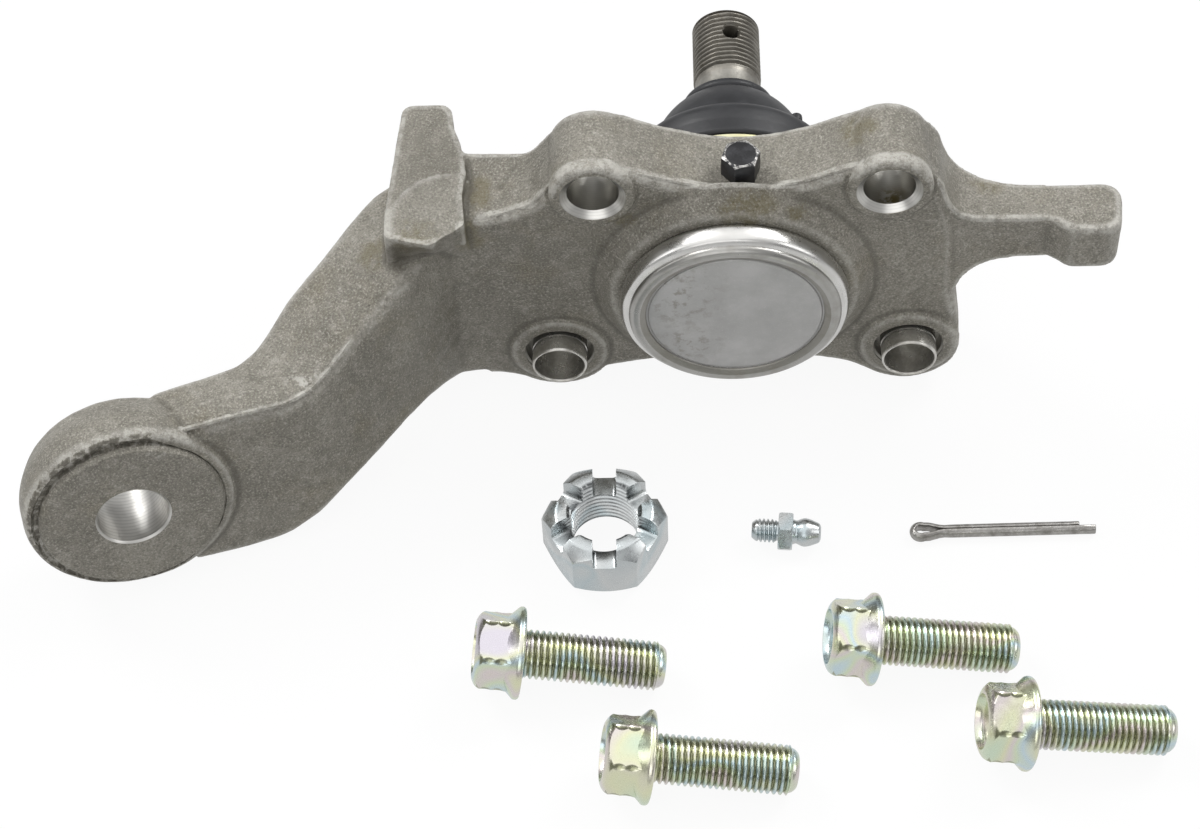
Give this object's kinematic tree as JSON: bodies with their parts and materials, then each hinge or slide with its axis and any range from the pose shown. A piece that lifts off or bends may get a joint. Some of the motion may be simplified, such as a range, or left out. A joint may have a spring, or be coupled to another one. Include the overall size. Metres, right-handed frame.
{
  "type": "suspension ball joint",
  "caption": "Ball joint pressed into a forged steering arm: tapered stud in a rubber boot, bolt flange, stop, arm with a tie rod eye, and its loose nut, split pin, grease fitting and bolts.",
  "frame": {"origin": "centre of the stud's ball", "axes": "+X along the bolt rows, away from the arm; +Y along the stud to its thread; +Z to the grease plug"},
  "size_m": [0.276, 0.2135, 0.0865],
  "materials": {
    "forged_steel": "shot-blasted forging",
    "turned_steel": "fine turned",
    "plate_steel": "satin",
    "spring_steel": "dark, oiled",
    "bearing_resin": "matte",
    "stud_steel": "ground ball and taper, rolled thread",
    "boot_rubber": "satin",
    "yellow_zinc": "yellow zinc plate",
    "black_oxide": "black oxide, worn at the edges",
    "sleeve_steel": "fine turned",
    "bright_zinc": "clear zinc plate",
    "plain_steel": "plain drawn wire"
  },
  "bodies": {
    "forging": {"forged_arm": "forged_steel", "socket_housing": "turned_steel", "closing_plate": "plate_steel", "dust_boot": "boot_rubber", "boot_base_ring": "yellow_zinc", "grease_plug": "black_oxide", "dowel_sleeve_left": "sleeve_steel", "dowel_sleeve_right": "sleeve_steel"},
    "bearing": {"upper_bearing_seat": "bearing_resin", "lower_bearing_seat": "bearing_resin", "preload_spring": "spring_steel"},
    "neck": {"boot_neck_ring": "spring_steel"},
    "stud": {"ball_stud": "stud_steel"},
    "nut": {"castle_nut": "bright_zinc"},
    "split_pin": {"cotter_pin": "plain_steel"},
    "fitting": {"grease_fitting": "bright_zinc", "fitting_spring": "spring_steel"},
    "check_ball": {"fitting_check_ball": "plain_steel"},
    "bolt_1": {"flange_bolt_1": "yellow_zinc"},
    "bolt_2": {"flange_bolt_2": "yellow_zinc"},
    "bolt_3": {"flange_bolt_3": "yellow_zinc"},
    "bolt_4": {"flange_bolt_4": "yellow_zinc"}
  },
  "joints": [
    {"name": "bearing_turn", "type": "hinge", "parent": "forging", "child": "bearing", "pos_m": [0, 0, 0], "axis": [0, 1, 0], "continuous": true},
    {"name": "stud_swing", "type": "hinge", "parent": "bearing", "child": "neck", "pos_m": [0, 0, 0], "axis": [1, 0, 0], "range_deg": [-20, 20], "deforming": ["dust_boot"]},
    {"name": "stud_spin", "type": "hinge", "parent": "neck", "child": "stud", "pos_m": [0, 0, 0], "axis": [0, 1, 0], "continuous": true},
    {"name": "nut_lift", "type": "slide", "parent": "forging", "child": "nut", "axis": [0, 0, 1], "range_m": [0, 0.04]},
    {"name": "split_pin_lift", "type": "slide", "parent": "forging", "child": "split_pin", "axis": [0, 0, 1], "range_m": [0, 0.04]},
    {"name": "fitting_lift", "type": "slide", "parent": "forging", "child": "fitting", "axis": [0, 0, 1], "range_m": [0, 0.04]},
    {"name": "bolt_1_lift", "type": "slide", "parent": "forging", "child": "bolt_1", "axis": [0, 0, 1], "range_m": [0, 0.04]},
    {"name": "bolt_2_lift", "type": "slide", "parent": "forging", "child": "bolt_2", "axis": [0, 0, 1], "range_m": [0, 0.04]},
    {"name": "bolt_3_lift", "type": "slide", "parent": "forging", "child": "bolt_3", "axis": [0, 0, 1], "range_m": [0, 0.04]},
    {"name": "bolt_4_lift", "type": "slide", "parent": "forging", "child": "bolt_4", "axis": [0, 0, 1], "range_m": [0, 0.04]},
    {"name": "check_ball_press", "type": "slide", "parent": "fitting", "child": "check_ball", "axis": [-0.9965, 0.0837, 0], "range_m": [0, 0.0006], "stiffness_N_per_m": 150, "deforming": ["fitting_spring"]}
  ]
}
